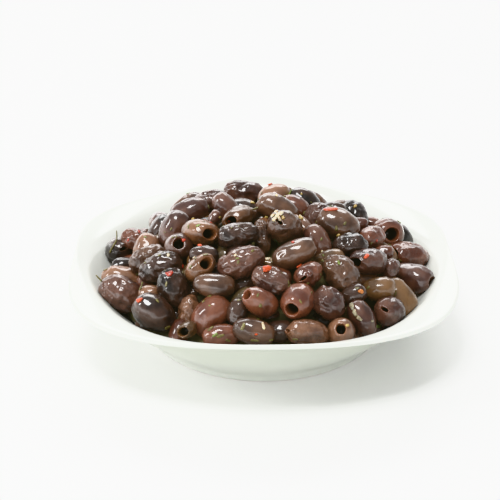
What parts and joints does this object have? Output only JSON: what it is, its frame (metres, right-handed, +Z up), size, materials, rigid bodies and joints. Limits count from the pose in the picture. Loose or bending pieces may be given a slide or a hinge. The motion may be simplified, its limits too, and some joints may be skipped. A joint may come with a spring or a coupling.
{
  "type": "dish of olives",
  "caption": "Deep square-shouldered serving dish with a round well and a foot ring, heaped high with pitted olives, chilli, garlic and herbs.",
  "frame": {"origin": "centre of the foot ring's underside, on the table", "axes": "+Z up; the shown side faces -Y; +X to the right as seen from there"},
  "size_m": [0.241, 0.2404, 0.0866],
  "materials": {
    "porcelain": "glossy white glaze",
    "olive_skin": "oily brown to black olive skin"
  },
  "bodies": {
    "root": {"dish": "porcelain", "olive_heap": "olive_skin"}
  },
  "joints": []
}
